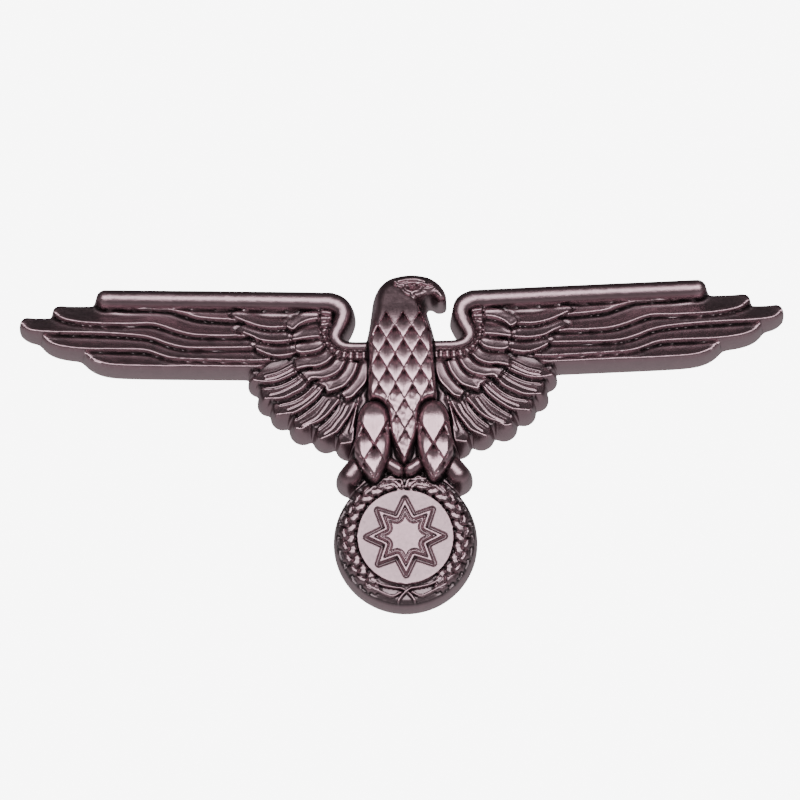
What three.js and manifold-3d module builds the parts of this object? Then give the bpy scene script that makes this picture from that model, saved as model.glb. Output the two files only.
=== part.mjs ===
// Spread-eagle cap badge: one die-cast eagle on a wreathed roundel, with two threaded studs in its
// back and, on each stud, a knurled nut that turns in a captive swivel washer.
//
// Frame, in millimetres: +X to the viewer's right, +Z up, and the relief faces -Y. The flat back of
// the casting is the plane y = 0, the origin lies on it midway between the two studs, and the studs
// stand out of it towards +Y.

import * as THREE from "three";
import { mergeVertices } from "three/addons/utils/BufferGeometryUtils.js";
import Module from "manifold-3d";

const wasm = await Module();
wasm.setup();

// ---------------------------------------------------------------- driving dimensions

const GAP = 0.3; // clearance kept between two neighbouring pieces

// Heights of the relief's layers, measured from the back plane towards the viewer.
const HEIGHT = {
  ledge: 2.6,
  primaries: [3.2, 3.1, 3.0, 2.9, 2.8],
  secondaries: [3.45, 3.4, 3.35],
  fan: [3.25, 3.2, 3.15, 3.2, 3.25, 3.3],
  coverts: [3.7, 3.7, 3.75, 3.75, 3.8, 3.8],
  shoulder: 3.6,
  bar: 2.9,
  roundel: 2.5,
  disc: 3.0,
  star: 3.45,
};

const ROUNDEL = { z: -17.6, radius: 6.5, wreathRadius: 5.35, wreathTube: 0.95, discRadius: 4.4 };
const STAR = { points: 8, outer: 3.55, inner: 2.15 };
const BAR = { radius: 0.85, inner: [6.6, 4.72], outer: [27.05, 5.33] };

const STUD = {
  x: 10, // distance of each stud from the middle
  z: 1.0, // height of the studs above the datum that the outlines are drawn from
  radius: 1.25, // M2.5 thread
  root: -1.2, // y of the end inside the casting
  tip: 8.0,
  chamfer: 0.35,
};
const BOSS = { radius: 2.4, height: 0.6, holeDepth: 1.5 };

// Captive washer and nut, along +Y from the washer's front face.
const WASHER = {
  front: 3.0, // y of the face that bears on the cloth
  radius: 4.5,
  rim: 0.45, // thickness at the edge
  height: 0.95,
  shoulder: 3.7, // radius where the dish rises
  bore: 2.5,
  recess: 3.15, // radius of the pocket that hides the nut's lip
  recessDepth: 0.55,
};
const NUT = { lip: 2.85, lipThickness: 0.25, neck: 2.2, flange: 1.25, radius: 3.9, height: 3.2, teeth: 24, tooth: 0.22 };

// ---------------------------------------------------------------- outlines, as [x, z] on the right-hand side

// Lower edges of the five long primaries, from the root out to the tip, highest feather first.
const PRIMARY_EDGES = [
  [[13, 3.0], [15.3, 3.05], [18.3, 3.2], [20, 3.65], [22, 4.2], [24, 4.4], [26.6, 4.7]],
  [[12, 1.6], [15, 1.6], [18, 1.68], [19.5, 1.85], [21, 2.3], [22, 2.7], [23, 2.93], [25, 2.9], [28, 3.05],
    [30, 3.35], [31, 3.8], [31.55, 4.35]],
  [[12, 0.46], [15, 0.46], [18.8, 0.5], [20.3, 0.65], [21.5, 1.0], [22.7, 1.5], [24, 1.8], [26.5, 2.05],
    [29.5, 2.2], [32, 2.27], [33.5, 2.45], [34.5, 2.85], [34.9, 3.25]],
  [[12, -0.8], [14, -0.78], [17, -0.67], [20, -0.52], [21.3, -0.35], [22.3, 0], [23.3, 0.37], [25, 0.5],
    [28, 0.57], [30, 0.75], [31.3, 1.05], [32.2, 1.5], [32.7, 2.0]],
  [[10.5, -1.45], [14, -1.4], [19, -1.27], [23, -1.15], [25.5, -1.03], [26.8, -0.85], [27.7, -0.5], [28.4, -0.05],
    [28.9, 0.4]],
];
// Where each primary's outline returns to the root, above its own lower edge.
const PRIMARY_TOPS = [
  [[26.6, 5.0], [13, 4.4]],
  [[31.3, 4.72], [30.7, 4.85], [27, 4.85], [12, 4.0]],
  [[34.75, 3.55], [34.2, 3.72], [31, 3.72], [24, 3.0], [12, 2.2]],
  [[32.4, 2.4], [28, 2.5], [22, 1.9], [12, 1.2]],
  [[28.6, 0.7], [24, 0.7], [20, -0.2], [10.5, -0.2]],
];
// The three secondaries that lie over the primaries' roots.
const SECONDARIES = [
  [[6.5, 3.1], [8, 2.85], [9.2, 2.4], [10.1, 1.85], [11.2, 1.95], [12.6, 2.1], [13.9, 2.35], [15.4, 3.1], [14.6, 3.6],
    [7.5, 3.9]],
  [[6.5, 1.3], [9, 1.0], [10.3, 0.83], [11.5, 0.7], [12.8, 0.78], [13.7, 1.08], [14.6, 1.55], [14, 2.2], [10.5, 2.2],
    [6.5, 3.0]],
  [[6.5, 0.3], [8.3, -0.2], [9.6, -0.38], [10.7, -0.62], [11.6, -0.68], [12.6, -0.4], [13.5, 0], [13.3, 0.55],
    [12, 1.0], [6.5, 1.2]],
];
// The six feathers of the lower fan.
const FAN = [
  [[8.3, -0.6], [12.2, -0.9], [13.3, -1.7], [14.3, -2.8], [13.2, -3.05], [12, -2.95], [10.5, -2.4], [8.3, -1.7]],
  [[7.6, -1.8], [10.8, -2.7], [13.4, -3.0], [13.2, -4.65], [11.5, -4.7], [9.9, -4.1], [8.5, -2.9]],
  [[6.8, -2.6], [9.2, -3.9], [11.9, -4.7], [11.9, -6.3], [9.9, -5.9], [8.4, -4.9], [7.2, -3.6]],
  [[5.8, -3.5], [7.4, -4.6], [10.1, -6.1], [10.1, -7.6], [8, -7.0], [6.8, -5.4]],
  [[4.6, -4.0], [6.0, -4.8], [8, -6.9], [7.9, -8.7], [6.1, -7.7], [5.2, -6.3]],
  [[3.4, -4.2], [4.8, -4.6], [6.1, -7.8], [5.8, -9.1], [4.7, -8.9], [3.8, -7.0]],
];
// The six coverts that overlap the fan's roots.
const COVERTS = [
  [[6.8, 3.0], [8.4, 2.6], [9.9, 1.95], [10.1, 1.1], [8.6, 1.1], [6.8, 1.3]],
  [[6.8, 1.3], [8.6, 1.05], [10, 0.9], [9.7, -0.3], [8.3, -0.2], [6.8, 0.3]],
  [[6.3, 0.2], [8.2, -0.3], [9.8, -0.6], [9.7, -1.8], [8.4, -1.7], [7.2, -1.45], [6.2, -0.6]],
  [[5.3, -0.7], [6.6, -0.6], [8.4, -1.8], [8.5, -2.85], [7.2, -2.8], [5.9, -2.2], [5.1, -1.2]],
  [[4.1, -0.9], [5.3, -1.2], [7.0, -2.9], [7.1, -4.0], [5.6, -3.65], [4.6, -2.8], [4.1, -1.8]],
  [[3.0, -1.0], [4.2, -1.5], [5.4, -3.6], [5.3, -4.7], [4.3, -4.3], [3.4, -3.4], [3.0, -2.4]],
];
// Shoulder and the narrow band that runs down from it to the neck.
const SHOULDER = [
  [9.5, 3.8], [9.5, 5.6], [5.9, 5.6], [4.8, 5.0], [4.45, 3.9], [4.7, 3.0], [5.2, 2.1], [5.35, 1.3], [4.9, 0.95],
  [2.6, 0.85], [2.6, -0.4], [5.2, -0.4], [6.3, 0.4], [6.5, 3.2],
];
// Web of metal that carries the wing's inner half.
const WEB = [[2.0, 0.8], [5.2, 0.8], [6.5, 3.8], [14, 4.2], [14, -1.0], [10.5, -5.6], [6, -8], [2, -8]];

// Slab that joins the breast, the legs and the claws down to the roundel.
const LOWER_BODY = [[3.6, 0.6], [4.4, -8.6], [5.2, -11.2], [5.5, -13.6]];

// Side view of the head and neck, which look to the viewer's right.
const HEAD = [
  [-3.2, 0.5], [-2.8, 2.4], [-2.5, 4.3], [-2.35, 5.4], [-1.45, 6.55], [-0.3, 6.93], [0.8, 7.0], [1.7, 6.85],
  [2.5, 6.55], [3.2, 6.05], [3.75, 5.4], [4.05, 4.6], [4.2, 4.05], [3.9, 3.55], [3.4, 3.42], [2.95, 3.75],
  [2.35, 3.75], [2.05, 3.45], [2.15, 2.9], [2.5, 1.8], [2.9, 0.5],
];

// ---------------------------------------------------------------- solids

// A geometry as a manifold-3d solid, with its faces turned outwards.
function solidOf(geometry) {
  const bare = geometry.clone();
  bare.deleteAttribute("normal");
  bare.deleteAttribute("uv");
  const merged = mergeVertices(bare, 1e-4);
  const triVerts = new Uint32Array(merged.index.array);
  const make = () =>
    new wasm.Manifold(new wasm.Mesh({ numProp: 3, vertProperties: merged.attributes.position.array, triVerts }));
  const solid = make();
  if (solid.volume() > 0) return solid;
  for (let i = 0; i < triVerts.length; i += 3) {
    [triVerts[i + 1], triVerts[i + 2]] = [triVerts[i + 2], triVerts[i + 1]];
  }
  return make();
}

// A manifold-3d solid as a flat-shaded geometry.
function geometryOf(solid) {
  const mesh = solid.getMesh();
  const geometry = new THREE.BufferGeometry();
  geometry.setAttribute("position", new THREE.BufferAttribute(mesh.vertProperties, 3));
  geometry.setIndex(new THREE.BufferAttribute(mesh.triVerts, 1));
  const flat = geometry.toNonIndexed();
  flat.computeVertexNormals();
  return flat;
}

const joined = (solids) => solids.reduce((sum, solid) => sum.add(solid));
const mirrored = (points) => points.map(([x, z]) => [-x, z]);
const onSide = (points, side) => (side < 0 ? mirrored(points) : points);

// A slab whose outline is drawn in X and Z, from the back plane to the given height towards the viewer.
function slab(points, height) {
  const shape = new THREE.Shape(points.map(([x, z]) => new THREE.Vector2(x, z)));
  const geometry = new THREE.ExtrudeGeometry(shape, { depth: height, bevelEnabled: false });
  return solidOf(geometry.rotateX(Math.PI / 2));
}

// An outline rounded by a closed curve through its points.
function rounded(points, samples) {
  const curve = new THREE.SplineCurve([...points, points[0]].map(([x, z]) => new THREE.Vector2(x, z)));
  return curve.getPoints(samples).slice(0, -1).map((p) => [p.x, p.y]);
}

// A half-ellipsoid that stands on the back plane.
function mound(x, z, halfWidth, halfLength, height, turn = 0) {
  const geometry = new THREE.SphereGeometry(1, 14, 10).scale(halfWidth, height, halfLength);
  geometry.rotateY(turn).translate(x, 0, z);
  return solidOf(geometry).subtract(behindBackPlane);
}

// A round bar between two points given as [x, y, z].
function rod(from, to, radius, sides = 16) {
  const a = new THREE.Vector3(...from);
  const b = new THREE.Vector3(...to);
  const geometry = new THREE.CylinderGeometry(radius, radius, a.distanceTo(b), sides);
  const turn = new THREE.Quaternion().setFromUnitVectors(new THREE.Vector3(0, 1, 0), b.clone().sub(a).normalize());
  geometry.applyQuaternion(turn).translate(...a.add(b).multiplyScalar(0.5).toArray());
  return solidOf(geometry);
}

function box(width, depth, height, x, y, z) {
  return solidOf(new THREE.BoxGeometry(width, depth, height).translate(x, y, z));
}

const revolved = (profile, segments) =>
  solidOf(new THREE.LatheGeometry(profile.map(([r, y]) => new THREE.Vector2(r, y)), segments));

const behindBackPlane = box(100, 20, 100, 0, 10, 0);

// ---------------------------------------------------------------- the casting

function wing(side) {
  const parts = [slab(onSide(WEB, side), HEIGHT.ledge), slab(onSide(SHOULDER, side), HEIGHT.shoulder)];
  PRIMARY_EDGES.forEach((edge, i) =>
    parts.push(slab(onSide([...edge, ...PRIMARY_TOPS[i]], side), HEIGHT.primaries[i])),
  );
  SECONDARIES.forEach((outline, i) => parts.push(slab(onSide(outline, side), HEIGHT.secondaries[i])));
  FAN.forEach((outline, i) => parts.push(slab(onSide(rounded(outline, 16), side), HEIGHT.fan[i])));
  COVERTS.forEach((outline, i) => parts.push(slab(onSide(rounded(outline, 12), side), HEIGHT.coverts[i])));
  parts.push(leadingBar(side));
  return joined(parts);
}

// The half-round bar along the wing's leading edge, on a slab that fills it down to the back.
function leadingBar(side) {
  const [x0, z0] = BAR.inner;
  const [x1, z1] = BAR.outer;
  const r = BAR.radius;
  const foot = [[x0, z0 - r], [x1, z1 - r], [x1 + r, z1 - 0.3], [x1 + r, z1 + 0.3], [x1, z1 + r], [x0, z0 + r]];
  const round = rod([side * x0, -HEIGHT.bar, z0], [side * x1, -HEIGHT.bar, z1], r, 14);
  return slab(onSide(foot, side), HEIGHT.bar).add(round);
}

function body() {
  const legs = [-1, 1].flatMap((side) => [
    mound(side * 2.75, -8.0, 1.75, 4.1, 5.1), // thigh
    mound(side * 4.9, -12.0, 1.0, 1.45, 3.9), // outer toe
    mound(side * 0.85, -10.9, 0.9, 0.9, 3.9, side * 0.7), // inner toe
    mound(side * 2.9, -12.0, 1.1, 1.3, 3.7), // middle toe
  ]);
  return joined([
    slab(HEAD, 3.4),
    mound(0.4, 4.9, 2.6, 2.2, 5.2), // head
    mound(-0.1, -2.4, 3.5, 6.6, 5.5), // breast
    slab([...LOWER_BODY, ...mirrored(LOWER_BODY).reverse()], HEIGHT.ledge),
    mound(0, -8.4, 1.3, 2.8, 4.0), // tail
    ...legs,
  ]);
}

function roundel() {
  const plate = rod([0, 0, ROUNDEL.z], [0, -HEIGHT.roundel, ROUNDEL.z], ROUNDEL.radius, 32);
  const wreath = new THREE.TorusGeometry(ROUNDEL.wreathRadius, ROUNDEL.wreathTube, 8, 32).rotateX(Math.PI / 2);
  wreath.translate(0, -HEIGHT.roundel, ROUNDEL.z);
  const disc = rod([0, 0, ROUNDEL.z], [0, -HEIGHT.disc, ROUNDEL.z], ROUNDEL.discRadius, 32);
  const corners = Array.from({ length: 2 * STAR.points }, (_, i) => {
    const r = i % 2 ? STAR.inner : STAR.outer;
    const angle = (i * Math.PI) / STAR.points;
    return [r * Math.sin(angle), ROUNDEL.z + r * Math.cos(angle)];
  });
  return joined([plate, solidOf(wreath), disc, slab(corners, HEIGHT.star)]);
}

// The eagle, with a round boss behind each wing and the blind hole that the stud's root sits in.
function eagleCasting() {
  const alongStud = (side, y0, y1, radius) => rod([side * STUD.x, y0, STUD.z], [side * STUD.x, y1, STUD.z], radius, 24);
  const bosses = [-1, 1].map((side) => alongStud(side, -1, BOSS.height, BOSS.radius));
  const holes = [-1, 1].map((side) => alongStud(side, -BOSS.holeDepth, BOSS.height + 1, STUD.radius + GAP));
  const whole = joined([wing(-1), wing(1), body(), roundel(), ...bosses]);
  return holes.reduce((solid, hole) => solid.subtract(hole), whole);
}

// ---------------------------------------------------------------- studs, washers and nuts

function threadedStud() {
  const { radius, root, tip, chamfer } = STUD;
  return revolved([[0, root], [radius, root], [radius, tip - chamfer], [radius - chamfer, tip], [0, tip]], 20);
}

// A dished washer whose pocket holds the nut's lip, so the two stay together but turn freely.
function swivelWasher() {
  const { radius, rim, height, shoulder, bore, recess, recessDepth } = WASHER;
  return revolved(
    [
      [recess, 0], [radius, 0], [radius, rim], [shoulder, height], [bore, height], [bore, recessDepth],
      [recess, recessDepth], [recess, 0],
    ],
    36,
  );
}

// The nut's lip and neck pass through the washer, and its knurled head stands behind it.
function knurledNut() {
  const { lip, lipThickness, neck, flange, radius, height, teeth, tooth } = NUT;
  const bore = STUD.radius + GAP;
  const sleeve = revolved(
    [
      [bore, 0], [lip, 0], [lip, lipThickness], [neck, lipThickness], [neck, flange + 0.2], [bore, flange + 0.2],
      [bore, 0],
    ],
    24,
  );
  const outline = Array.from({ length: 2 * teeth }, (_, i) => {
    const angle = (i * Math.PI) / teeth;
    const r = i % 2 ? radius - tooth : radius;
    return new THREE.Vector2(r * Math.cos(angle), r * Math.sin(angle));
  });
  const shape = new THREE.Shape(outline);
  shape.holes.push(new THREE.Path().absarc(0, 0, bore, 0, 2 * Math.PI, true));
  const head = new THREE.ExtrudeGeometry(shape, { depth: height - flange, bevelEnabled: false, curveSegments: 24 });
  head.rotateX(-Math.PI / 2).translate(0, flange, 0);
  return sleeve.add(solidOf(head));
}

// ---------------------------------------------------------------- materials and assembly

const gunmetal = new THREE.MeshStandardMaterial({ color: 0x6f5a60, roughness: 0.38, metalness: 1 });
const nickel = new THREE.MeshStandardMaterial({ color: 0xb9b6b0, roughness: 0.25, metalness: 1 });
const brass = new THREE.MeshStandardMaterial({ color: 0xc9a25a, roughness: 0.3, metalness: 1 });

const badge = new THREE.Group();
badge.position.z = -STUD.z;

function place(name, solid, material, x = 0, y = 0, z = 0) {
  const mesh = new THREE.Mesh(geometryOf(solid), material);
  mesh.name = name;
  mesh.position.set(x, y, z);
  badge.add(mesh);
}

place("eagle_casting", eagleCasting(), gunmetal);
for (const [label, side] of [["left", -1], ["right", 1]]) {
  const x = side * STUD.x;
  place(`${label}_threaded_stud`, threadedStud(), brass, x, 0, STUD.z);
  place(`${label}_swivel_washer`, swivelWasher(), nickel, x, WASHER.front, STUD.z);
  place(`${label}_knurled_nut`, knurledNut(), nickel, x, WASHER.front, STUD.z);
}

export default badge;
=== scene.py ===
"""Spread-eagle cap badge: the detailed casting, its studs, washers and nuts, and the studio.

The casting is drawn as a relief. Every feather, scale and leaf is laid, one over another, onto a
fine grid of heights above the badge's flat back; the grid is then cut to the badge's outline and
closed with drafted walls and a back. Drawing units are millimetres: x to the viewer's right, z up
from a datum 1 mm below the studs, and height towards the viewer (the frame's -Y).
"""
import math

import bmesh
import bpy
import numpy as np
from mathutils import Matrix, Vector


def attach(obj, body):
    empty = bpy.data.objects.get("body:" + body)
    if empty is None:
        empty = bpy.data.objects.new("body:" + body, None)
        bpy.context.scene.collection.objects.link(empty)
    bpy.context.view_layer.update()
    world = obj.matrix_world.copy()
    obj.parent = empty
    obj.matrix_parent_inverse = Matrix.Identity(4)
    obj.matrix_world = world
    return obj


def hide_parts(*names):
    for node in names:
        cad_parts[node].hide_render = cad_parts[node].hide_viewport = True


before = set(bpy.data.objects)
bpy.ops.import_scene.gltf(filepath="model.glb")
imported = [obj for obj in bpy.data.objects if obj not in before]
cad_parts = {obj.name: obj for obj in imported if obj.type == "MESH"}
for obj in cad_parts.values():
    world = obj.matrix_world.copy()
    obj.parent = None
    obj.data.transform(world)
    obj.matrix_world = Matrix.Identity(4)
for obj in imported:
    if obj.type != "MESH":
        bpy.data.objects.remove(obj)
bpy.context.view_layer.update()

# ------------------------------------------------------------------ driving dimensions, in mm

MM = 0.001
COARSE = 1
# The relief's grid: its foot and top, its reach to each side, and its spacing up and down.
GRID_FOOT, GRID_TOP, GRID_REACH = -24.8, 7.76, 35.7
ROW_STEP = 0.072 * COARSE
# Spacing across at each distance from the middle, where the detail is finest.
COLUMN_STEPS = [(0, 0.07), (6.5, 0.07), (8, 0.09), (14, 0.09), (17, 0.17), (40, 0.17)]
SOFT = 0.05  # half-width of the step where one surface is laid over another
CREST = 0.155  # how far in from a feather's edge its lip is highest
STUD_LINE = 1.0  # height of the studs above the drawing's datum
DRAFT = 0.32  # how far the side walls flare from the face to the back
WALL_ROWS = 5  # rows of faces down the side walls

GROUND = 2.6  # height of the web between the feathers
# Each kind of feather: height of its lip, then how far the surface lies below that at each
# distance in from the free edge.
FEATHERS = {
    "primary": (3.24, [(0.16, 0), (0.4, 0.12), (1, 0.46), (1.5, 0.72), (2.1, 0.96), (3, 1.1)]),
    "secondary": (3.46, [(0.16, 0), (0.4, 0.12), (0.9, 0.35), (1.5, 0.66), (3, 0.72)]),
    "fan": (3.22, [(0.16, 0), (0.4, 0.12), (1, 0.4), (1.6, 0.62), (3, 0.7)]),
    "covert": (3.62, [(0.16, 0), (0.4, 0.1), (0.9, 0.26), (1.5, 0.6), (3, 0.7)]),
}

BAR_HEIGHT = 2.9
# Diamond scales: half-width, height and the lattice's centre, with the breast's highest point
# and the point where the thigh's bare upper part ends.
BREAST_SCALES = {"width": 0.765, "height": 1.39, "centre": (0.12, 1.72), "top": 3.11}
THIGH_SCALES = {"width": 0.95, "height": 1.55, "centre": (2.68, -7.79), "point": -9.34}
ROUNDEL = {"z": -17.5, "rim": 6.24, "plate": 2.6, "disc": 4.4, "disc_height": 3.0}
STAR = {"points": 8, "outer": 3.5, "inner": 2.05}

STUD = {"x": 10.0, "radius": 1.25, "root": -1.2, "tip": 8.0, "pitch": 0.45, "thread": 0.2}
BOSS = {"radius": 2.4, "height": 0.6, "hole": 1.55, "depth": 1.5, "sides": 64}
WASHER_FRONT = 3.0  # from the back to the washers and nuts, at rest
KNURL = {"radius": 3.9, "teeth": 40, "lean": 6.6, "depth": 0.32}
NUT_BORE = 1.55

# ------------------------------------------------------------------ outlines of the right-hand side

# Long primaries, highest first: the lipped lower edge from the root to the tip, then the way back.
PRIMARIES = [
    ([(13, 2.88), (15.2, 2.98), (18.4, 3.28), (19.8, 3.68), (21, 4.08), (22.29, 4.2), (25.18, 4.35),
      (26.46, 4.58)],
     [(26.79, 4.98), (13, 4.48)]),
    ([(12, 1.48), (15, 1.48), (18, 1.56), (19.5, 1.73), (21, 2.18), (22.07, 2.58), (23.14, 2.81),
      (25.29, 2.8), (28.5, 2.93), (30.5, 3.23), (31.5, 3.63), (31.95, 4.03)],
     [(32, 4.38), (31.8, 4.73), (31.3, 4.9), (27.4, 4.9), (13, 4.08)]),
    ([(12, 0.34), (15, 0.34), (18.8, 0.38), (20.3, 0.53), (21.54, 0.88), (22.82, 1.38), (24.21, 1.68),
      (26.89, 1.93), (30, 2.08), (32.5, 2.15), (34, 2.33), (34.65, 2.68), (34.97, 3.03)],
     [(34.92, 3.38), (34.7, 3.68), (34.4, 3.8), (31.5, 3.8), (24.21, 3.28), (12, 2.28)]),
    ([(12, -0.92), (14, -0.9), (17, -0.79), (20, -0.64), (21.32, -0.47), (22.39, -0.12), (23.46, 0.25),
      (25.29, 0.38), (28.5, 0.45), (30.5, 0.63), (31.8, 0.93), (32.6, 1.38), (33, 1.88)],
     [(32.8, 2.23), (28.5, 2.38), (22.07, 1.78), (12, 1.08)]),
    ([(10.5, -1.57), (14, -1.52), (19, -1.39), (23.14, -1.27), (25.82, -1.15), (27.21, -0.97),
      (28.18, -0.62), (28.8, -0.17), (29.15, 0.23)],
     [(28.9, 0.63), (24.21, 0.68), (20, -0.12), (10.5, -0.32)]),
]
SECONDARIES = [
    ([(9.9, 1.9), (10.8, 2.15), (12, 2.15), (13.2, 2.35), (14.3, 2.75), (15.2, 3.15)],
     [(15.8, 3.7), (14.3, 4.3), (10.7, 4.4), (9.2, 4.1)]),
    ([(9.9, 0.9), (11.6, 0.8), (13, 1), (13.8, 1.4), (14.5, 1.7)],
     [(15.3, 2.2), (14.3, 2.8), (13, 2.5), (10.7, 2.3), (9.7, 2.5)]),
    ([(9.5, -0.15), (10.3, -0.5), (11.3, -0.6), (12.5, -0.3), (13.3, 0.1)],
     [(13.6, 0.6), (13, 0.9), (11.6, 1), (9.6, 1.1)]),
]
# The lower fan, top feather first, each with the ridges that run down its middle.
FAN = [
    ([(9.6, -2), (10.5, -2.45), (11.6, -2.85), (13, -2.9), (13.9, -2.7)],
     [(13.4, -2.1), (12.9, -1.5), (12.1, -0.85), (10.7, -0.6), (9.6, -0.7)],
     [[(9.7, -1), (10.5, -1.4), (11.4, -1.85), (12.5, -2.15)],
      [(9.8, -1.4), (10.6, -1.85), (11.6, -2.3), (12.5, -2.5)]]),
    ([(8.4, -2.8), (9.1, -3.55), (10, -4.05), (11.1, -4.5), (12.6, -4.55)],
     [(13, -3.8), (12.9, -2.85), (11.1, -2.3), (9.6, -1.6)],
     [[(9.5, -2.25), (10.7, -2.9), (11.6, -3.2), (12.5, -3.3)],
      [(8.8, -2.15), (9.8, -2.95), (11, -3.6), (12.1, -3.95)]]),
    ([(7.1, -3.5), (7.8, -4.4), (8.7, -5.15), (9.8, -5.85), (10.7, -6), (11.6, -6.1)],
     [(11.9, -5.3), (11.7, -4.3), (9.9, -3.7), (8.2, -2.6)],
     [[(8.2, -3.35), (9, -4.05), (10, -4.6), (11.2, -4.9)],
      [(7.5, -3.25), (8.4, -4.1), (9.3, -4.8), (10.5, -5.35)]]),
    ([(5.7, -4.65), (6.3, -5.4), (7, -6.2), (7.8, -6.75), (8.6, -7.05), (9.2, -7.45), (9.85, -7.4)],
     [(10, -6.8), (10, -6.2), (9.2, -5.4), (8.1, -4.5), (7.2, -3.6)],
     [[(7.3, -4.2), (8.1, -5.05), (9.1, -5.85), (9.8, -6.3)],
      [(6.8, -4.65), (7.3, -5.4), (7.9, -6.15), (8.6, -6.6), (9.2, -6.9)]]),
    ([(4.25, -5), (4.8, -6.05), (5.35, -6.85), (6, -7.7), (6.7, -8.1), (7.5, -8.45)],
     [(7.9, -8.1), (7.9, -7.15), (6.9, -6.1), (6.1, -5.3), (5.4, -4.1)],
     [[(5.7, -4.5), (6.1, -5.5), (6.9, -6.5), (7.7, -7.2)],
      [(5.2, -5.2), (5.6, -6), (6.1, -6.6), (6.6, -7.25), (7.2, -7.7)]]),
    ([(3.9, -4.6), (4.25, -6), (4.4, -7.3), (4.5, -8.6), (5.1, -8.85), (5.8, -8.95)],
     [(5.95, -7.9), (5.35, -7.1), (4.7, -6.05), (4.3, -4.9), (4, -4.1)],
     [[(4.25, -5.3), (4.5, -6.45), (4.9, -7.65)]]),
]
# Cupped coverts over the fan's roots, top feather first.
COVERTS = [
    ([(7.4, 2.9), (8.5, 2.75), (9.3, 2.4), (9.95, 1.9), (10.6, 2.2)],
     [(10.6, 2.7), (9.6, 3.55), (8.6, 3.85), (7.3, 3.9)]),
    ([(7.2, 1.2), (8.6, 1.1), (9.6, 0.95), (10.1, 0.9)],
     [(10, 1.55), (9.6, 2.3), (8.6, 2.9), (7.3, 3.1)]),
    ([(7, 0.45), (7.5, 0), (8.4, -0.25), (9.3, -0.3), (9.75, -0.15)],
     [(9.8, 0.5), (8.8, 1.1), (7.2, 1.4)]),
    ([(6.2, -0.6), (6.9, -1.25), (7.8, -1.6), (8.8, -1.65), (9.7, -1.85)],
     [(9.9, -0.9), (9.4, -0.2), (7.9, 0), (6.9, 0.6)]),
    ([(5.1, -1), (5.6, -1.9), (6.3, -2.45), (7.3, -2.75), (8.3, -2.75), (8.5, -3.1)],
     [(9.2, -2.2), (8, -1.5), (6.8, -0.9), (6.2, -0.4)]),
    ([(4, -1.3), (4.4, -2.35), (5.2, -3.4), (6, -3.8), (6.9, -4), (7.1, -3.5)],
     [(8, -2.9), (6.6, -2.4), (5.7, -1.7), (5, -0.8)]),
    ([(2.8, -1.8), (3.3, -3.1), (4, -3.95), (4.6, -4.55), (5.2, -4.75)],
     [(5.6, -4.1), (4.8, -2.7), (4.3, -1.7), (4, -0.9), (2.8, -0.9)]),
]
# Scallops of the back's outline below the fan: x, z and radius.
LOBES = [(13.25, -2.45, 1), (12.35, -4.25, 1.05), (11.05, -5.5, 1.15), (9.2, -6.8, 1.28),
         (7.1, -7.65, 1.25), (5.1, -8.5, 1.15)]
WEB = [(0, 0.4), (4.6, 0.2), (5.8, 0.9), (5.6, 2.4), (5.4, 4.2), (6.5, 4.7), (14, 4.8), (14, -1.2),
       (12.6, -4.2), (10.6, -5.8), (8.6, -6.9), (6.6, -7.8), (5, -8.6), (4.4, -8.6), (5, -11.5),
       (4.2, -13.8), (0, -13.8)]

# The bar along the leading edge and the band it turns into, down the shoulder to the neck: x, z, radius.
SHOULDER = [(27.2, 5.36, 0.85), (16, 5.04, 0.86), (7.6, 4.76, 0.88), (6.5, 4.65, 0.9),
            (5.75, 4.25, 0.9), (5.45, 3.5, 0.8), (5.75, 2.5, 0.72), (6.15, 1.7, 0.68),
            (6.15, 1.1, 0.6), (5.6, 0.6, 0.5), (4.6, 0.42, 0.45), (2.6, 0.42, 0.45)]
BEADS = [(6.9, 3.9), (6.95, 2.6), (6.8, 1.4), (6.4, 0.5), (5.7, -0.15), (4.7, -0.4), (3.2, -0.42)]

# Head, neck and breast in one outline, clockwise from the nape.
TORSO = [
    (-3.05, 0.8), (-2.75, 2.4), (-2.5, 4.0), (-2.3, 5.2), (-1.85, 6.1), (-1.1, 6.72), (-0.2, 7),
    (0.8, 7.12),
    (1.7, 7.05), (2.6, 6.8), (3.35, 6.3), (3.9, 5.6), (4.14, 5.0), (4.15, 4.6), (3.9, 4.33), (3.4, 4.3),
    (3.1, 4.6), (2.85, 4.85), (2.45, 4.85), (2.1, 4.6), (2.05, 4.1), (2.35, 2.9), (2.75, 1.2),
    (2.85, -1), (3.0, -3),
    (3.05, -4.8), (2.2, -6.6), (1.1, -8.6), (0, -11), (-1.1, -8.6), (-2.2, -6.6), (-3.1, -4.8),
    (-3.15, -3),
    (-3.05, -1),
]
# Height of the bird's middle at each level, from the crown down.
MIDLINE = [(-12, 3.9), (-9, 4.35), (-6, 4.9), (-3, 5.25), (0, 5.35), (2.4, 5.15), (4, 4.6), (5.5, 4.1),
           (7, 3.6), (9, 3.2)]
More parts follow.
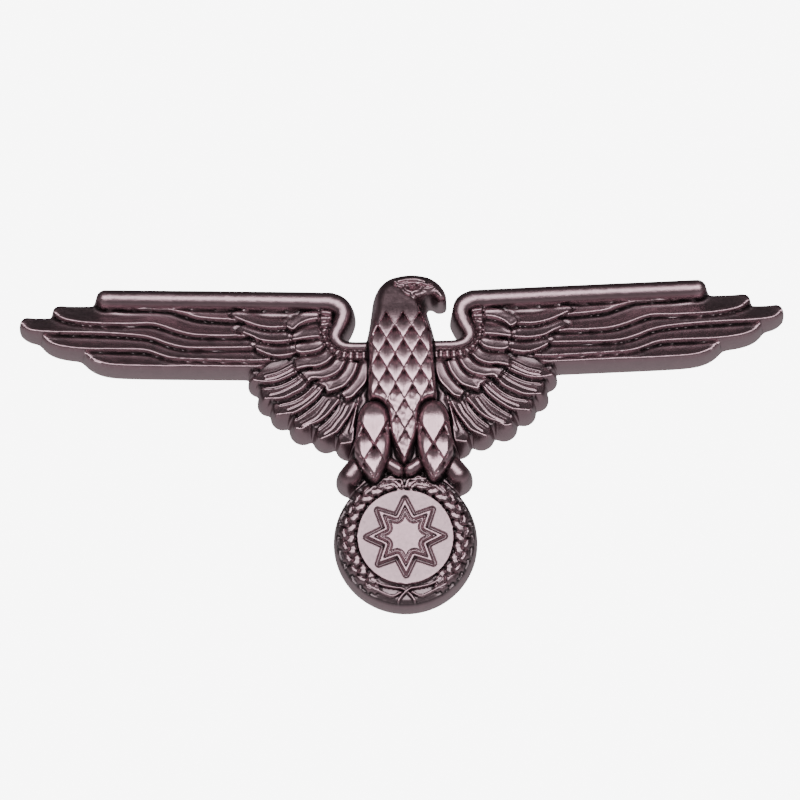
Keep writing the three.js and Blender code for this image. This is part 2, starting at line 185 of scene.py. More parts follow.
# Lines of the face, as raised ridges: points, then height and half-width.
FACE = [
    ([(-0.52, 6.3), (0.28, 6.48), (0.98, 6.54), (1.68, 6.48), (2.18, 6.28)], 0.18, 0.15),
    ([(-0.62, 6.26), (-0.22, 6.03), (0.18, 5.96), (0.43, 6.12), (0.98, 6.2), (1.68, 6.18),
      (2.08, 6.02), (2.48, 5.94),
      (2.83, 6.05)], 0.16, 0.11),
    ([(1.53, 5.9), (1.83, 5.7), (2.18, 5.56), (2.58, 5.55), (3, 5.72)], 0.15, 0.12),
    ([(0.28, 5.65), (0.58, 5.32), (1.03, 5.18), (1.53, 5.3), (1.83, 5.6)], 0.18, 0.14),
    ([(0.98, 4.95), (1.43, 4.52), (1.88, 4.12)], 0.14, 0.12),
]
EYE = (1.03, 5.78)
BEAK = [(1, 4.85), (1.5, 5.05), (2.4, 5.15), (3, 5), (3.4, 4.7), (3.6, 4.3)]
THIGH = [(2.65, -4.85), (3.5, -5.2), (4.05, -6.2), (4.35, -8), (4.5, -9.6), (4.15, -10.9),
         (3.2, -12.2), (2.6, -12.5), (2.1, -11.9), (1.35, -10), (1.2, -8.2), (1.35, -6.2),
         (1.85, -5.2)]

# Strands of the wreath: its crossed stems at the foot and its ribbon at the head.
STEMS = [
    [(3.1, -21.4), (2.2, -21.9), (1.1, -22.15), (0.3, -22.3), (-0.4, -22.9), (-0.75, -23.4)],
    [(3.6, -21.9), (2.4, -22.5), (1.3, -22.95), (0.5, -22.6)],
    [(3.45, -13.4), (2.7, -12.7), (2.2, -12.2), (1.2, -12.15), (0.35, -12.2), (0.1, -12.9)],
    [(2.3, -12.9), (1.7, -12.7), (1, -12.65), (0.6, -13.1)],
]

# ------------------------------------------------------------------ curves and distances


def smoothstep(a, b, v):
    t = np.clip((v - a) / (b - a), 0.0, 1.0)
    return t * t * (3.0 - 2.0 * t)


def ridge(v, at, width):
    return np.exp(-(((v - at) / width) ** 2))


def spline(points, steps=6, closed=False):
    """A smooth curve through the points."""
    p = np.asarray(points, float)
    if closed:
        p = np.vstack([p[-1], p, p[0], p[1]])
    else:
        p = np.vstack([2 * p[0] - p[1], p, 2 * p[-1] - p[-2]])
    out = []
    for a, b, c, d in zip(p[:-3], p[1:-2], p[2:-1], p[3:]):
        for t in np.arange(steps) / steps:
            bend = 2 * a - 5 * b + 4 * c - d
            twist = 3 * b - a - 3 * c + d
            out.append(0.5 * (2 * b + (c - a) * t + bend * t**2 + twist * t**3))
    if not closed:
        out.append(p[-2])
    return np.array(out)


def on_side(points, side):
    p = np.array(points, float)
    p[:, 0] *= side
    return p


def path_distance(x, z, path):
    """Distance to an open path, and the distance travelled along it."""
    best = np.full(x.shape, 1e9)
    along = np.zeros(x.shape)
    travelled = 0.0
    for (ax, az), (bx, bz) in zip(path[:-1, :2], path[1:, :2]):
        ex, ez = bx - ax, bz - az
        length = math.hypot(ex, ez)
        t = np.clip(((x - ax) * ex + (z - az) * ez) / max(length * length, 1e-9), 0, 1)
        d = np.hypot(x - ax - t * ex, z - az - t * ez)
        closer = d < best
        best = np.where(closer, d, best)
        along = np.where(closer, travelled + t * length, along)
        travelled += length
    return best, along


def outline_distance(x, z, outline):
    """Signed distance to a closed outline, negative inside."""
    closed = np.vstack([outline, outline[:1]])
    distance, _ = path_distance(x, z, closed)
    inside = np.zeros(x.shape, bool)
    for (ax, az), (bx, bz) in zip(closed[:-1], closed[1:]):
        if az == bz:
            continue
        crosses = (z >= min(az, bz)) & (z < max(az, bz))
        inside ^= crosses & (x < ax + (z - az) / (bz - az) * (bx - ax))
    return np.where(inside, -distance, distance)


def blurred(field, passes):
    """A field smoothed over its neighbours that many times."""
    for _ in range(max(1, passes // COARSE**2)):
        tall = np.pad(field, ((1, 1), (0, 0)), mode="edge")
        field = 0.25 * tall[:-2] + 0.5 * tall[1:-1] + 0.25 * tall[2:]
        wide = np.pad(field, ((0, 0), (1, 1)), mode="edge")
        field = 0.25 * wide[:, :-2] + 0.5 * wide[:, 1:-1] + 0.25 * wide[:, 2:]
    return field


# ------------------------------------------------------------------ the relief


def grid_columns():
    """Column places, closer together in the middle, where the detail is finer."""
    steps = np.array(COLUMN_STEPS)
    places = [0.0]
    while places[-1] < GRID_REACH:
        step = COARSE * float(np.interp(places[-1], steps[:, 0], steps[:, 1]))
        places.append(places[-1] + step)
    return np.array([-x for x in reversed(places[1:])] + places)


class Relief:
    """Heights over a fine grid, with the signed distance to the outline of the badge's face and the
    distance to the nearest lip. The grid's points may be moved a little, to lie along the lips."""

    def __init__(self, moved=None):
        self.xs = grid_columns()
        self.zs = np.arange(GRID_FOOT, GRID_TOP, ROW_STEP)
        self.x, self.z = moved if moved else np.meshgrid(self.xs, self.zs)
        self.height = np.full(self.x.shape, GROUND)
        self.face = np.full(self.x.shape, 9.0)
        self.lip = np.full(self.x.shape, 9.0)

    def window(self, points, margin=1.2):
        """The part of the grid round some points."""
        low = points[:, :2].min(axis=0) - margin
        high = points[:, :2].max(axis=0) + margin
        columns = slice(*np.searchsorted(self.xs, [low[0], high[0]]))
        rows = slice(*np.searchsorted(self.zs, [low[1], high[1]]))
        return rows, columns

    def lay(self, here, gap, surface, groove=0.0, echo=0.0, lip=9.0, silhouette=True):
        """Lays a surface wherever gap is negative, with a groove and a faint ridge beside its edge."""
        if silhouette:
            self.face[here] = np.minimum(self.face[here], gap)
        outside = np.maximum(gap, 0)
        beside = echo * ridge(outside, 0.36, 0.16)
        below = self.height[here] - groove * ridge(outside, 0, 0.14) + beside
        inside = smoothstep(SOFT, -SOFT, gap)
        self.height[here] = below * (1 - inside) + surface * inside
        self.lip[here] = np.where(gap < 0, lip, self.lip[here])

    def lay_outline(self, outline, surface, free=None, **how):
        """The same, for a closed outline. surface is a function of x, z and depth or, along a free
        edge, of x, z and the distance from that edge."""
        here = self.window(outline)
        x, z = self.x[here], self.z[here]
        gap = outline_distance(x, z, outline)
        if free is None:
            self.lay(here, gap, surface(x, z, np.maximum(-gap, 0)), **how)
        else:
            inward, _ = path_distance(x, z, free)
            self.lay(here, gap, surface(x, z, inward), lip=np.abs(inward - CREST), **how)


def feather(relief, side, kind, edge, back, ridges=()):
    """One feather: a rounded lip along its free edge, above a surface that sinks away behind it."""
    lip, fall = FEATHERS[kind]
    fall = spline(fall)
    free = on_side(spline(edge), side)
    outline = np.vstack([free, on_side(back, side)])
    quills = [on_side(spline(q), side) for q in ridges]

    def surface(x, z, inward):
        rounding = 0.15 * np.clip(1 - inward / 0.2, 0, 1) ** 2
        height = lip - np.interp(inward, fall[:, 0], fall[:, 1]) - rounding
        for quill in quills:
            q, _ = path_distance(x, z, quill)
            height += 0.09 * ridge(q, 0, 0.1) - 0.04 * ridge(q, 0.2, 0.09)
        return height

    relief.lay_outline(outline, surface, free=free, groove=0.1, echo=0.05)


def dome(depth, reach, rise):
    """Height of a rounded form at that depth inside its edge."""
    return rise * np.sqrt(np.clip(1 - (1 - np.minimum(depth / reach, 1)) ** 2, 0, 1))


def scales(x, z, lattice, middle, lift, reach):
    """Pointed scales in a diamond lattice, each swelling out from under the pair above it."""
    across = (x - middle) / lattice["width"]
    up = (z - lattice["centre"][1]) / lattice["height"]
    fu, fv = ((across + up + 1) / 2) % 1, ((up - across + 1) / 2) % 1
    down = 1 - (fu + fv) / 2
    edge = np.minimum(fu, fv)
    across = np.abs(fu - fv)
    swell = 1 - np.clip(1 - (down + 0.12 * across - 0.05) / reach, 0, 1) ** 2
    return lift * (swell - 1) * (1 - 0.2 * across) - 0.25 * lift * ridge(edge, 0, 0.06)


def wing(relief, side):
    shift = 0.1 if side < 0 else 0.0  # the left shoulder stands a little nearer the neck
    for edge, back in reversed(PRIMARIES):
        feather(relief, side, "primary", edge, back)
    for edge, back in reversed(SECONDARIES):
        feather(relief, side, "secondary", edge, back)
    for edge, back, ridges in reversed(FAN):
        feather(relief, side, "fan", edge, back, ridges)
    for edge, back in reversed(COVERTS):
        feather(relief, side, "covert", edge, back)
    bead_chain(relief, side)
    shoulder(relief, side, shift)


def bead_chain(relief, side):
    """The ribbed chain between the shoulder band and the coverts."""
    path = on_side(spline(BEADS), side)
    here = relief.window(path)
    d, along = path_distance(relief.x[here], relief.z[here], path)
    ribs = np.abs(np.sin(math.pi * along / 0.58)) ** 0.6
    height = 3.3 + 0.34 * ribs - 0.25 * smoothstep(0.4, 0.62, d)
    relief.lay(here, d - 0.6, height, groove=0.1)


def shoulder(relief, side, shift):
    """The rounded bar and band, as thick at each point as SHOULDER says."""
    points = np.array(SHOULDER, float)
    points[3:-1, 0] -= shift
    path = spline(points)
    path[:, 0] *= side
    here = relief.window(path)
    x, z = relief.x[here], relief.z[here]
    d, along = path_distance(x, z, path)
    steps = np.hypot(*np.diff(path[:, :2], axis=0).T)
    radius = np.interp(along, np.concatenate([[0], np.cumsum(steps)]), path[:, 2])
    round_top = np.sqrt(np.clip(radius**2 - d**2, 0, None))
    relief.lay(here, d - radius, BAR_HEIGHT + round_top, groove=0.1, echo=0.07)


def zigzag(x):
    """Height of the line of points where the breast's scales begin, below the smooth neck."""
    steps = np.abs(x - BREAST_SCALES["centre"][0]) / BREAST_SCALES["width"] % 2
    return BREAST_SCALES["top"] - BREAST_SCALES["height"] * np.minimum(steps, 2 - steps)


def torso(relief):
    """Head, beak, neck and breast."""
    outline = spline(TORSO, closed=True)
    middle = spline(MIDLINE)
    beak = spline(BEAK)

    def surface(x, z, depth):
        reach = np.interp(z, [0, 3], [0.4, 0.9])
        height = 3.0 + dome(depth, reach, 1) * (np.interp(z, middle[:, 0], middle[:, 1]) - 3.0)
        over_zigzag = z - zigzag(x)
        scaled = smoothstep(0.08, -0.08, over_zigzag) * smoothstep(0.02, 0.2, depth)
        rough = smoothstep(-3.4, -5.0, z)
        waves = np.sin(5 * x + 2.6 * z) * np.sin(4.4 * z - 2 * x) + 0.4 * np.sin(8 * x - 5 * z)
        lumps = 0.035 * rough * waves
        lift = 0.7 - 0.25 * rough
        pattern = lumps + scales(x, z, BREAST_SCALES, BREAST_SCALES["centre"][0], lift, reach=0.75)
        striped = 0.006 * (np.sin(21 * x + 2 * np.sin(z)) + np.sin(14.5 * x + 1.3))
        height += (pattern + striped) * scaled + 0.05 * ridge(over_zigzag, 0.06, 0.09)
        to_beak, along = path_distance(x, z, beak)
        length = np.hypot(*np.diff(beak, axis=0).T).sum()
        under = (along > 0.02) & (along < length - 0.02) & (z < np.interp(x, beak[:, 0], beak[:, 1]))
        height -= np.where(under, 1.1 * smoothstep(0.05, 0.9, to_beak), 0) * smoothstep(0.9, 1.6, x)
        for points, rise, width in FACE:
            d, _ = path_distance(x, z, spline(points))
            height += rise * ridge(d, 0, width) - 0.4 * rise * ridge(d, 2 * width, width)
        eye = np.hypot((x - EYE[0]) / 1.5, z - EYE[1])
        return height + 0.2 * ridge(eye, 0, 0.12) - 0.16 * ridge(eye, 0.22, 0.08)

    relief.lay_outline(outline, surface, groove=0.2)


def legs(relief):
    """Two thighs, each over its toes. Scales cover a thigh below its kite-shaped bare part."""
    for side in (-1, 1):
        outline = on_side(spline(THIGH, closed=True), side)
        middle = side * THIGH_SCALES["centre"][0]

        def surface(x, z, depth):
            body = 3.1 + dome(depth, 0.7, 1.1) + 0.6 * smoothstep(-4.6, -6.8, z)
            pattern = scales(x, z, THIGH_SCALES, middle, 0.6, reach=0.5)
            striped = 0.006 * (np.sin(21 * x) + np.sin(14.5 * x + 1.3))
            kite = z - THIGH_SCALES["point"] - 1.8 * np.abs(x - middle)
            below = smoothstep(0.1, -0.1, kite)
            line = 0.16 * ridge(kite, -0.05, 0.16) * smoothstep(-6.6, -7.2, z)
            return body + (pattern * below - line + striped) * smoothstep(0.02, 0.25, depth)

        toe(relief, on_side([(4.3, -11), (4.95, -11.8)], side), 1.0, 2.6, 1.3)
        toe(relief, on_side([(1.95, -10.4), (0.5, -11.35)], side), 0.6, 3.1, 0.9)
        relief.lay_outline(outline, surface, groove=0.3)


def toe(relief, path, radius, base, rise):
    """A rounded toe along a short path."""
    here = relief.window(np.vstack([path - radius, path + radius]))
    d, _ = path_distance(relief.x[here], relief.z[here], path)
    relief.lay(here, d - radius, base + dome(radius - d, radius, rise), groove=0.2)


def roundel(relief):
    """The wreath's ring and the disc inside it."""
    centre = np.array([0, ROUNDEL["z"]])
    box = centre + np.array([[-7, -7], [7, 7]])
    here = relief.window(box)
    x, z = relief.x[here], relief.z[here]
    r = np.hypot(x, z - ROUNDEL["z"])
    rim = ROUNDEL["rim"]
    relief.lay(here, r - rim, ROUNDEL["plate"] - 0.2 * smoothstep(rim - 0.6, rim, r))
    rng = np.random.default_rng(11)
    for side in (-1, 1):
        for step in reversed(range(12)):
            for start, outer in ((33, True), (39, False)):
                angle = math.radians(-90 + side * (start + 12 * step))
                leaf(relief, angle, side, outer, rng.uniform(-1, 1, 3))
        for points in STEMS:
            line(relief, on_side(spline(points), side), 2.95, 0.13)
    relief.lay(here, r - ROUNDEL["disc"], ROUNDEL["disc_height"], groove=0.1, silhouette=False)
    star(relief, here)


def line(relief, path, height, width):
    """A thin rounded strand."""
    here = relief.window(path)
    d, _ = path_distance(relief.x[here], relief.z[here], path)
    round_top = np.sqrt(np.clip(width**2 - d**2, 0, None))
    relief.lay(here, d - width, height + round_top, silhouette=False)


def leaf(relief, angle, side, outer, chance):
    """One lobed leaf of the wreath, lying along the ring and turned a little in or out."""
    ring = 5.55 if outer else 4.95
    x0, z0 = ring * math.cos(angle), ROUNDEL["z"] + ring * math.sin(angle)
    lean = math.radians((28 if outer else -32) + 10 * chance[0])
    heading = angle + side * (math.pi / 2 - lean)
    t = np.linspace(0, 1, 37)
    lobes = 1 + 0.2 * np.cos(2 * math.pi * 2.5 * (t + 0.12 + 0.05 * chance[1]))
    half = 0.44 * np.sin(math.pi * t**0.8) ** 0.6 * lobes
    along = (t - 0.45) * (1.5 + 0.2 * chance[2])
    shape = np.vstack([np.column_stack([along, -half]), np.column_stack([along, half])[::-1]])
    c, s = math.cos(heading), math.sin(heading)
    outline = np.array([x0, z0]) + shape @ np.array([[c, s], [-s, c]])

    def surface(x, z, depth):
        forward = (x - x0) * c + (z - z0) * s
        across = np.abs(-(x - x0) * s + (z - z0) * c)
        r = np.hypot(x, z - ROUNDEL["z"])
        fall = 0.45 * smoothstep(5.4, 6.3, r)
        return 2.95 - fall + 0.12 * forward + dome(depth, 0.4, 0.3) - 0.05 * ridge(across, 0, 0.09)

    relief.lay_outline(outline, surface, groove=0.1, silhouette=False)


def star(relief, here):
    """The star on the disc: a raised border with two lines cut inside it."""
    x, z = relief.x[here], relief.z[here]
    turn = np.arange(2 * STAR["points"]) * math.pi / STAR["points"]
    reach = np.where(np.arange(2 * STAR["points"]) % 2, STAR["inner"], STAR["outer"])
    outline = np.column_stack([reach * np.sin(turn), ROUNDEL["z"] + reach * np.cos(turn)])
    gap = outline_distance(x, z, outline)
    border = 0.34 * smoothstep(0.06, -0.06, gap) - 0.16 * ridge(gap, 0.16, 0.12)
    lines = 0.2 * ridge(gap, -0.38, 0.08) + 0.12 * ridge(gap, -0.64, 0.07)
    relief.height[here] += border - lines


def grain(relief, size, amount, seed):
    """Small uneven bumps, as a casting has."""
    rng = np.random.default_rng(seed)
    coarse = rng.standard_normal((int(44 / size), int(84 / size)))
    rows = (relief.zs + 30) / size
    columns = (relief.xs + 38) / size
    i, j = rows.astype(int) % (coarse.shape[0] - 1), columns.astype(int) % (coarse.shape[1] - 1)
    u, v = (rows % 1)[:, None], (columns % 1)[None, :]
    u, v = u * u * (3 - 2 * u), v * v * (3 - 2 * v)
    a, b = coarse[np.ix_(i, j)], coarse[np.ix_(i, j + 1)]
    c, d = coarse[np.ix_(i + 1, j)], coarse[np.ix_(i + 1, j + 1)]
    relief.height += amount * ((a * (1 - v) + b * v) * (1 - u) + (c * (1 - v) + d * v) * u)


def draw_relief(moved=None):
    relief = Relief(moved)
    for side in (-1, 1):
        relief.lay_outline(on_side(WEB, side), lambda x, z, depth: GROUND)
        wing(relief, side)
    roundel(relief)
    torso(relief)
    legs(relief)
    grain(relief, 0.35, 0.005, 3)
    grain(relief, 1.6, 0.012, 5)
    return relief


# ------------------------------------------------------------------ from relief to closed mesh


def sample(relief, field, points):
    """A field's value at any points, between the grid's own."""
    u = np.interp(points[:, 0], relief.xs, np.arange(len(relief.xs)))
    v = np.interp(points[:, 1], relief.zs, np.arange(len(relief.zs)))
    i = np.clip(v.astype(int), 0, len(relief.zs) - 2)
    j = np.clip(u.astype(int), 0, len(relief.xs) - 2)
    u, v = u - j, v - i
    low = field[i, j] * (1 - u) + field[i, j + 1] * u
    high = field[i + 1, j] * (1 - u) + field[i + 1, j + 1] * u
    return low * (1 - v) + high * v


def pulled_to(relief, field, points, rounds, most, level=0.0):
    """Points moved down a distance field's slope until it reads that level."""
    slope_z, slope_x = np.gradient(field, relief.zs, relief.xs)
    for _ in range(rounds):
        value = sample(relief, field, points) - level
        slope = np.column_stack([sample(relief, slope_x, points), sample(relief, slope_z, points)])
        size = np.maximum((slope**2).sum(axis=1), 0.2)
        move = -(value / size)[:, None] * slope
        length = np.hypot(*move.T)
        move *= (np.minimum(length, most) / np.maximum(length, 1e-9))[:, None]
        points = points + move
    return points


def kept_cells(relief):
    """Grid cells wholly inside the face, as one piece with no two touching only at a corner."""
    inside = relief.face < -SOFT
    cells = inside[:-1, :-1] & inside[1:, :-1] & inside[:-1, 1:] & inside[1:, 1:]
    for _ in range(4):
        a, b, c, d = cells[:-1, :-1], cells[:-1, 1:], cells[1:, :-1], cells[1:, 1:]
        pinch = (a & d & ~b & ~c) | (b & c & ~a & ~d)
        rows, columns = np.nonzero(pinch)
        cells[rows, columns] = cells[rows + 1, columns] = False
        cells[rows, columns + 1] = cells[rows + 1, columns + 1] = False
        neighbours = np.zeros(cells.shape, int)
        neighbours[1:] += cells[:-1]
        neighbours[:-1] += cells[1:]
        neighbours[:, 1:] += cells[:, :-1]
        neighbours[:, :-1] += cells[:, 1:]
        cells &= neighbours >= 2
    return cells


def settled_points(relief, cells):
    """The grid's points, with those beside a lip moved onto it and the outermost onto the outline."""
    points = np.column_stack([relief.x.ravel(), relief.z.ravel()])
    step_x = np.gradient(relief.xs)[None, :]
    slope_z, slope_x = np.gradient(relief.lip, relief.zs, relief.xs)
    reach = 0.5 * np.hypot(slope_x * step_x, slope_z * ROW_STEP)
    near = ((relief.lip < reach) & (relief.face < -ROW_STEP)).ravel()
    points[near] = pulled_to(relief, relief.lip, points[near], 3, 0.05 * COARSE)
    corner_count = np.zeros(relief.x.shape, int)
    for rows in (slice(0, -1), slice(1, None)):
        for columns in (slice(0, -1), slice(1, None)):
            corner_count[rows, columns] += cells
    rim = ((corner_count > 0) & (corner_count < 4)).ravel()
    points[rim] = pulled_to(relief, relief.face, points[rim], 5, 0.6 * ROW_STEP, -SOFT)
    return points[:, 0].reshape(relief.x.shape), points[:, 1].reshape(relief.x.shape)


def boundary_loops(faces):
    """Chains of vertices round a set of triangles, each in the triangles' own direction."""
    edges = np.vstack([faces[:, [k, (k + 1) % 3]] for k in range(3)])
    forward = set(map(tuple, edges.tolist()))
    after = {a: b for a, b in forward if (b, a) not in forward}
    loops = []
    while after:
        start, step = next(iter(after.items()))
        loop = [start]
        del after[start]
        while step != start:
            loop.append(step)
            step = after.pop(step)
        loops.append(loop)
    return sorted(loops, key=len, reverse=True)


def back_outline_field(relief):
    """Signed distance to the outline of the badge's back: the face's, flared, and the scallops."""
    near_beak = np.hypot(relief.x - 4.2, relief.z - 4.6)
    flare = DRAFT * (0.12 + 0.88 * smoothstep(0.6, 1.8, near_beak))
    field = blurred(relief.face, 4) - flare
    for side in (-1, 1):
        for x, z, radius in LOBES:
            field = np.minimum(field, np.hypot(relief.x - side * x, relief.z - z) - radius)
    return blurred(field, 5)


def patina_wear_and_painted_light_field(relief):
    """How far each point lies below its surroundings, less how far it stands up altogether. The metal's
    colour follows it: darker in the hollows from patina and painted shade, paler on the high parts from
    wear and a painted highlight.
    """
    surroundings = blurred(relief.height, 24)
    return 0.3 * (surroundings - relief.height) - 0.07 * (relief.height - 3.4)


def smoothed_loop(points):
    return 0.25 * np.roll(points, 1, axis=0) + 0.5 * points + 0.25 * np.roll(points, -1, axis=0)


def wall_foot(plan, rim):
    """The outline of the back, one point for each of the rim's: on its curve, but with no kinks."""
    field = back_outline_field(plan)
    foot = pulled_to(plan, field, rim, 24, 0.08)
    for _ in range(30):
        for _ in range(4):
            foot = smoothed_loop(foot)
        foot = pulled_to(plan, field, foot, 1, 0.05)
    return smoothed_loop(foot)


def casting_mesh(plan, relief, cells):
    """Points, values of patina, wear and painted light, and faces of the casting but for its back, and
    the loop that the back fills.
    """
    number = np.full(relief.x.shape, -1)
    used = np.zeros(relief.x.shape, bool)
    rows, columns = np.nonzero(cells)
    corners = [(rows, columns), (rows, columns + 1), (rows + 1, columns + 1), (rows + 1, columns)]
    for r, c in corners:
        used[r, c] = True
    number[used] = np.arange(used.sum())
    a, b, c, d = (number[r, c] for r, c in corners)
    height = relief.height[used]
    split = (np.abs(height[a] - height[c]) <= np.abs(height[b] - height[d]))[:, None]
    first = np.where(split, np.column_stack([a, b, c]), np.column_stack([a, b, d]))
    second = np.where(split, np.column_stack([a, c, d]), np.column_stack([b, c, d]))
    faces = np.vstack([first, second])
    flat = np.column_stack([relief.x[used], relief.z[used]])

    rim = np.array(boundary_loops(faces)[0])
    foot = wall_foot(plan, flat[rim])
    points = [np.column_stack([flat[:, 0], -height, flat[:, 1]])]
    patina_wear_and_painted_light_rows = [patina_wear_and_painted_light_field(relief)[used]]
    polygons = faces.tolist()
    upper = rim
    count = len(flat)
    for step in range(1, WALL_ROWS + 1):
        t = step / WALL_ROWS
        across = flat[rim] + (foot - flat[rim]) * math.sin(t * math.pi / 2) ** 0.8
        points.append(np.column_stack([across[:, 0], -height[rim] * (1 - t), across[:, 1]]))
        patina_wear_and_painted_light_rows.append(np.zeros(len(rim)))
        lower = count + np.arange(len(rim))
        count += len(rim)
        polygons += np.column_stack([upper, lower, np.roll(lower, -1), np.roll(upper, -1)]).tolist()
        upper = lower
    return np.vstack(points), np.concatenate(patina_wear_and_painted_light_rows), polygons, upper


def boss_rings(side):
    """Rings round one stud boss, from where it leaves the back to the bottom of its blind hole."""
    radius, top, hole = BOSS["radius"], BOSS["height"], BOSS["hole"]
    turn = np.linspace(0, 2 * math.pi, BOSS["sides"], endpoint=False)
    profile = [(radius + 0.25, 0.0), (radius + 0.08, 0.06), (radius, 0.2), (radius - 0.02, top - 0.12),
               (radius - 0.12, top), (hole + 0.08, top), (hole, top - 0.08), (hole, -BOSS["depth"])]
    rings = []
    for r, y in profile:
        x = side * STUD["x"] + r * np.cos(turn)
        z = STUD_LINE + r * np.sin(turn)
        rings.append(np.column_stack([x, np.full(len(turn), y), z]))
    return rings


def quad_band(a, b, count):
    """Faces between two rings of that many points, which start at a and b."""
    return [[a + i, a + (i + 1) % count, b + (i + 1) % count, b + i] for i in range(count)]


def eagle_casting():
    plan = draw_relief()
    cells = kept_cells(plan)
    relief = draw_relief(settled_points(plan, cells))
    points, patina_wear_and_painted_light, quads, foot = casting_mesh(plan, relief, cells)
    points = points.tolist()
    patina_wear_and_painted_light = patina_wear_and_painted_light.tolist()
    loops = [foot.tolist()]
    sides = BOSS["sides"]
    for side in (-1, 1):
        rings = boss_rings(side)
        start = len(points)
        for ring in rings:
            points += ring.tolist()
            # The bosses get a little patina and painted shade in the metal's colour.
            patina_wear_and_painted_light += [0.1] * sides
        for k in range(len(rings) - 1):
            quads += quad_band(start + sides * k, start + sides * (k + 1), sides)
        quads.append([start + sides * (len(rings) - 1) + i for i in range(sides)])
        loops.append([start + i for i in range(sides)])
    quads += filled_back(points, loops)
    mesh = bpy.data.meshes.new("eagle_relief")
    placed = np.array(points) * MM
    placed[:, 2] -= STUD_LINE * MM
    mesh.from_pydata(placed.tolist(), [], quads)
    # Each point's patina, wear and painted light, which sets the metal's colour: painted shade in the
    # hollows, painted highlight on the high parts.
    layer = mesh.attributes.new("patina_wear_and_painted_light", "FLOAT", "POINT")
    layer.data.foreach_set("value", np.array(patina_wear_and_painted_light, np.float32))
    return finished(mesh, "eagle_relief", ridge_angle=80, valley_angle=40)


def filled_back(points, loops):
    """Triangles that fill the flat back between its outline and the bosses."""
    work = bmesh.new()
    made = {}
    for loop in loops:
        verts = [work.verts.new(points[i]) for i in loop]
        made.update({vert: i for vert, i in zip(verts, loop)})
        for a, b in zip(verts, verts[1:] + verts[:1]):
            work.edges.new((a, b))
    result = bmesh.ops.triangle_fill(work, edges=work.edges[:], use_beauty=True, normal=(0, 1, 0))
    faces = [[made[v] for v in f.verts] for f in result["geom"] if isinstance(f, bmesh.types.BMFace)]
    work.free()
    return faces


def finished(mesh, name, ridge_angle=35, valley_angle=35):
    """A piece with outward normals, its edges smooth up to the angles given for ridges and valleys."""
    work = bmesh.new()
    work.from_mesh(mesh)
    bmesh.ops.recalc_face_normals(work, faces=work.faces[:])
    lowest, highest = -math.radians(valley_angle), math.radians(ridge_angle)
    for edge in work.edges:
        edge.smooth = lowest < edge.calc_face_angle_signed(0.0) < highest
    work.to_mesh(mesh)
    work.free()
    mesh.polygons.foreach_set("use_smooth", [True] * len(mesh.polygons))
    obj = bpy.data.objects.new(name, mesh)
    bpy.context.scene.collection.objects.link(obj)
    return obj


# ------------------------------------------------------------------ studs, washers and nuts


def turned(name, profile, segments, shape=None, closed=True):
    """A body of revolution about +Y. shape may change a point's radius from its angle and height."""
    profile = np.array(profile, float)
    turn = np.linspace(0, 2 * math.pi, segments, endpoint=False)
    radius = np.repeat(profile[:, :1], segments, axis=1)
    along = np.repeat(profile[:, 1:2], segments, axis=1)
    if shape is not None:
        radius = shape(radius, along, turn[None, :])
    points = np.stack([radius * np.cos(turn), along, -radius * np.sin(turn)], axis=2).reshape(-1, 3)
    rings = len(profile)
    faces = []
    for k in range(rings if closed else rings - 1):
        faces += quad_band(k * segments, (k + 1) % rings * segments, segments)
    if not closed:
        faces += [list(range(segments)), [(rings - 1) * segments + i for i in range(segments)]]
    mesh = bpy.data.meshes.new(name)
    mesh.from_pydata((points * MM).tolist(), [], faces)
    return finished(mesh, name)


def rows_between(a, b, spacing):
    """Points along a straight stretch of profile."""
    a, b = np.array(a, float), np.array(b, float)
    count = max(1, round(math.dist(a, b) / spacing))
    return [tuple(a + (b - a) * k / count) for k in range(count)]


def thread(radius, along, turn, depth, start, end):
    """Radius of an M2.5 thread that fades out at both ends."""
    phase = (along / STUD["pitch"] - turn / (2 * math.pi)) % 1
    flank = np.abs(2 * phase - 1)
    cut = depth * smoothstep(0.08, 0.9, flank)
    fade = smoothstep(start, start + 0.3, along) * smoothstep(end, end - 0.3, along)
    return radius - cut * fade


def threaded_stud(name):
    r, root, tip = STUD["radius"], STUD["root"], STUD["tip"]
    profile = [(0.6, root), (r - 0.1, root)]
    profile += rows_between((r, root + 0.1), (r, tip - 0.35), STUD["pitch"] / 10)
    profile += [(r, tip - 0.35), (r - 0.1, tip - 0.2), (r - 0.3, tip - 0.04), (r - 0.45, tip), (0.4, tip)]

    def shape(radius, along, turn):
        threaded = thread(radius, along, turn, STUD["thread"], 0.7, tip - 0.1)
        return np.where(radius > r - 0.05, threaded, radius)

    return turned(name, profile, 48, shape, closed=False)


def swivel_washer(name):
    profile = [(3.15, 0.06), (3.21, 0), (4.3, 0), (4.44, 0.06), (4.5, 0.2), (4.46, 0.36), (4.32, 0.45),
               (4.15, 0.47), (3.9, 0.58), (3.72, 0.8), (3.58, 0.9), (3.4, 0.95), (2.58, 0.95),
               (2.5, 0.88), (2.5, 0.6), (2.55, 0.55), (3.08, 0.55), (3.15, 0.48)]
    return turned(name, profile, 96)


def knurled(radius, along, turn):
    """Radius of the nut's grip, cut by two crossing sets of grooves."""
    rising = np.abs(np.sin((turn * KNURL["teeth"] + along * KNURL["lean"]) / 2))
    falling = np.abs(np.sin((turn * KNURL["teeth"] - along * KNURL["lean"]) / 2))
    return radius - KNURL["depth"] * (1 - np.maximum(rising, falling) ** 2)


def tapped(radius, along, turn):
    """Radius of the nut's threaded bore."""
    cut = (along / STUD["pitch"] - turn / (2 * math.pi)) % 1
    fade = smoothstep(0.05, 0.4, along) * smoothstep(3.2, 2.9, along)
    return radius + 0.12 * smoothstep(0.1, 0.9, np.abs(2 * cut - 1)) * fade


